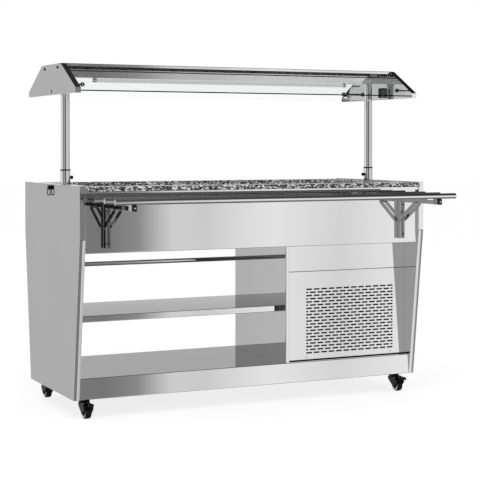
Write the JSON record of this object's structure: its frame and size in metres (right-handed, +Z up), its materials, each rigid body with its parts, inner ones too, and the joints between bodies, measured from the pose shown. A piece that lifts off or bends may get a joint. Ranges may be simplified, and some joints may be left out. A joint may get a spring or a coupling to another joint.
{
  "type": "mobile salad bar",
  "caption": "Stainless steel salad bar on braked casters with a speckled worktop, refrigerated well, glass canopy on posts and fold-down tray slide.",
  "frame": {"origin": "on the floor, at the middle of the whole outline seen from above, tray slide included", "axes": "+X along the length to the customer's right, the tray slide and grille face -Y, +Z up"},
  "size_m": [1.5204, 1.004, 1.352],
  "materials": {
    "satin_steel": "satin",
    "bright_steel": "polished",
    "chromed_tube": "polished",
    "speckled_stone": "satin",
    "black_plastic": "satin",
    "black_tread": "matte",
    "black_paint": "satin",
    "bare_alloy": "satin",
    "lamp_white": "satin",
    "clear_glass": "gloss"
  },
  "bodies": {
    "body": {"base_deck": "satin_steel", "bay_back_panel": "satin_steel", "bay_upper_panel": "bright_steel", "bracket_channel_left": "satin_steel", "bracket_channel_right": "satin_steel", "cold_well": "satin_steel", "compressor": "black_paint", "condenser": "bare_alloy", "cord_hook": "black_plastic", "divider_panel": "bright_steel", "fan_motor": "black_paint", "front_fascia": "bright_steel", "middle_shelf": "satin_steel", "post_socket_left": "chromed_tube", "post_socket_right": "chromed_tube", "rear_fascia": "bright_steel", "rear_rail": "chromed_tube", "side_panel_left": "satin_steel", "side_panel_right": "satin_steel", "well_casing": "satin_steel", "worktop": "speckled_stone", "worktop_frame": "bright_steel"},
    "grille": {"grille_panel": "bright_steel"},
    "fan": {"condenser_fan": "bare_alloy"},
    "screw_left": {"clamp_screw_left": "black_plastic"},
    "screw_right": {"clamp_screw_right": "black_plastic"},
    "canopy": {"canopy_end_left": "satin_steel", "canopy_end_right": "satin_steel", "canopy_roof": "satin_steel", "glass_front": "clear_glass", "glass_knob_front_left": "black_plastic", "glass_knob_front_right": "black_plastic", "glass_knob_rear_left": "black_plastic", "glass_knob_rear_right": "black_plastic", "glass_rear": "clear_glass", "lamp_beam": "bright_steel", "lamp_switch_box": "black_plastic", "lamp_tube": "lamp_white", "post_left": "chromed_tube", "post_right": "chromed_tube"},
    "rocker": {"lamp_rocker": "black_plastic"},
    "tray": {"bracket_arm_left": "satin_steel", "bracket_arm_right": "satin_steel", "tray_tube_front": "chromed_tube", "tray_tube_middle": "chromed_tube", "tray_tube_rear": "chromed_tube"},
    "brace_left": {"bracket_brace_left": "satin_steel"},
    "brace_right": {"bracket_brace_right": "satin_steel"},
    "fork_front_left": {"caster_fork_front_left": "black_plastic"},
    "fork_front_right": {"caster_fork_front_right": "black_plastic"},
    "fork_rear_left": {"caster_fork_rear_left": "black_plastic"},
    "fork_rear_right": {"caster_fork_rear_right": "black_plastic"},
    "pedal_front_left": {"caster_pedal_front_left": "black_plastic"},
    "pedal_front_right": {"caster_pedal_front_right": "black_plastic"},
    "pedal_rear_left": {"caster_pedal_rear_left": "black_plastic"},
    "pedal_rear_right": {"caster_pedal_rear_right": "black_plastic"},
    "wheel_front_left": {"caster_wheel_front_left": "black_tread"},
    "wheel_front_right": {"caster_wheel_front_right": "black_tread"},
    "wheel_rear_left": {"caster_wheel_rear_left": "black_tread"},
    "wheel_rear_right": {"caster_wheel_rear_right": "black_tread"}
  },
  "joints": [
    {"name": "canopy_lift", "type": "slide", "parent": "body", "child": "canopy", "axis": [0, 0, 1], "range_m": [0, 0.12]},
    {"name": "lamp_switch", "type": "hinge", "parent": "canopy", "child": "rocker", "pos_m": [0.74235, 0.112, 1.262], "axis": [0, 1, 0], "range_deg": [0, 12]},
    {"name": "clamp_turn_left", "type": "hinge", "parent": "body", "child": "screw_left", "pos_m": [-0.64985, 0.142, 0.909], "axis": [1, 0, 0], "range_deg": [0, 360]},
    {"name": "clamp_turn_right", "type": "hinge", "parent": "body", "child": "screw_right", "pos_m": [0.67015, 0.142, 0.909], "axis": [-1, 0, 0], "range_deg": [0, 360]},
    {"name": "tray_fold", "type": "hinge", "parent": "body", "child": "tray", "pos_m": [0.01015, -0.21, 0.81], "axis": [1, 0, 0], "range_deg": [0, 88]},
    {"name": "brace_fold_left", "type": "hinge", "parent": "body", "child": "brace_left", "pos_m": [-0.63235, -0.21, 0.7275], "axis": [1, 0, 0], "range_deg": [0, 125]},
    {"name": "brace_fold_right", "type": "hinge", "parent": "body", "child": "brace_right", "pos_m": [0.65265, -0.21, 0.7275], "axis": [1, 0, 0], "range_deg": [0, 125]},
    {"name": "grille_tilt", "type": "hinge", "parent": "body", "child": "grille", "pos_m": [0.45515, -0.1, 0.1605], "axis": [1, 0, 0], "range_deg": [0, 60]},
    {"name": "fan_spin", "type": "hinge", "parent": "body", "child": "fan", "pos_m": [0.38015, 0.0217, 0.2723], "axis": [0, 1, 0], "continuous": true},
    {"name": "swivel_front_left", "type": "hinge", "parent": "body", "child": "fork_front_left", "pos_m": [-0.67835, -0.078, 0.076], "axis": [0, 0, 1], "continuous": true},
    {"name": "roll_front_left", "type": "hinge", "parent": "fork_front_left", "child": "wheel_front_left", "pos_m": [-0.67835, -0.104, 0.025], "axis": [1, 0, 0], "continuous": true},
    {"name": "brake_front_left", "type": "hinge", "parent": "fork_front_left", "child": "pedal_front_left", "pos_m": [-0.67835, -0.112, 0.062], "axis": [1, 0, 0], "range_deg": [0, 12]},
    {"name": "swivel_front_right", "type": "hinge", "parent": "body", "child": "fork_front_right", "pos_m": [0.69865, -0.078, 0.076], "axis": [0, 0, 1], "continuous": true},
    {"name": "roll_front_right", "type": "hinge", "parent": "fork_front_right", "child": "wheel_front_right", "pos_m": [0.69865, -0.104, 0.025], "axis": [1, 0, 0], "continuous": true},
    {"name": "brake_front_right", "type": "hinge", "parent": "fork_front_right", "child": "pedal_front_right", "pos_m": [0.69865, -0.112, 0.062], "axis": [1, 0, 0], "range_deg": [0, 12]},
    {"name": "swivel_rear_left", "type": "hinge", "parent": "body", "child": "fork_rear_left", "pos_m": [-0.67835, 0.362, 0.076], "axis": [0, 0, 1], "continuous": true},
    {"name": "roll_rear_left", "type": "hinge", "parent": "fork_rear_left", "child": "wheel_rear_left", "pos_m": [-0.67835, 0.388, 0.025], "axis": [1, 0, 0], "continuous": true},
    {"name": "brake_rear_left", "type": "hinge", "parent": "fork_rear_left", "child": "pedal_rear_left", "pos_m": [-0.67835, 0.396, 0.062], "axis": [-1, 0, 0], "range_deg": [0, 12]},
    {"name": "swivel_rear_right", "type": "hinge", "parent": "body", "child": "fork_rear_right", "pos_m": [0.69865, 0.362, 0.076], "axis": [0, 0, 1], "continuous": true},
    {"name": "roll_rear_right", "type": "hinge", "parent": "fork_rear_right", "child": "wheel_rear_right", "pos_m": [0.69865, 0.388, 0.025], "axis": [1, 0, 0], "continuous": true},
    {"name": "brake_rear_right", "type": "hinge", "parent": "fork_rear_right", "child": "pedal_rear_right", "pos_m": [0.69865, 0.396, 0.062], "axis": [-1, 0, 0], "range_deg": [0, 12]}
  ],
  "couplings": [
    {"joint": "brace_fold_left", "follows": "tray_fold", "ratio": 1.41},
    {"joint": "brace_fold_right", "follows": "tray_fold", "ratio": 1.41}
  ]
}
